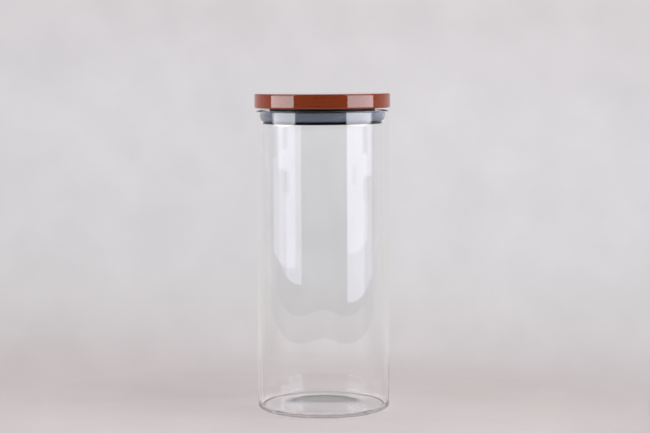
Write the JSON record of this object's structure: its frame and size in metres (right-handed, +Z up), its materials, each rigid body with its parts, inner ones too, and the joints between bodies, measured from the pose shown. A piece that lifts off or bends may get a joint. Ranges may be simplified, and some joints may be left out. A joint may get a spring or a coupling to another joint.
{
  "type": "glass storage jar with lid",
  "caption": "Tall straight-sided clear glass storage jar, closed by a glossy red-brown push-in lid with a finned silicone seal.",
  "frame": {"origin": "centre of the base, on the surface the jar stands on", "axes": "+Z up along the jar's axis, from base to lid; the jar is the same all round, so X and Y are free"},
  "size_m": [0.1024, 0.1024, 0.2385],
  "materials": {
    "clear_glass": "clear, fire polished",
    "lacquered_wood": "red-brown stain under gloss lacquer",
    "silicone": "satin"
  },
  "bodies": {
    "jar": {"glass_body": "clear_glass"},
    "closure": {"lid": "lacquered_wood", "seal_ring": "silicone"}
  },
  "joints": [
    {"name": "lid_lift", "type": "slide", "parent": "jar", "child": "closure", "axis": [0, 0, 1], "range_m": [0, 0.06]}
  ]
}
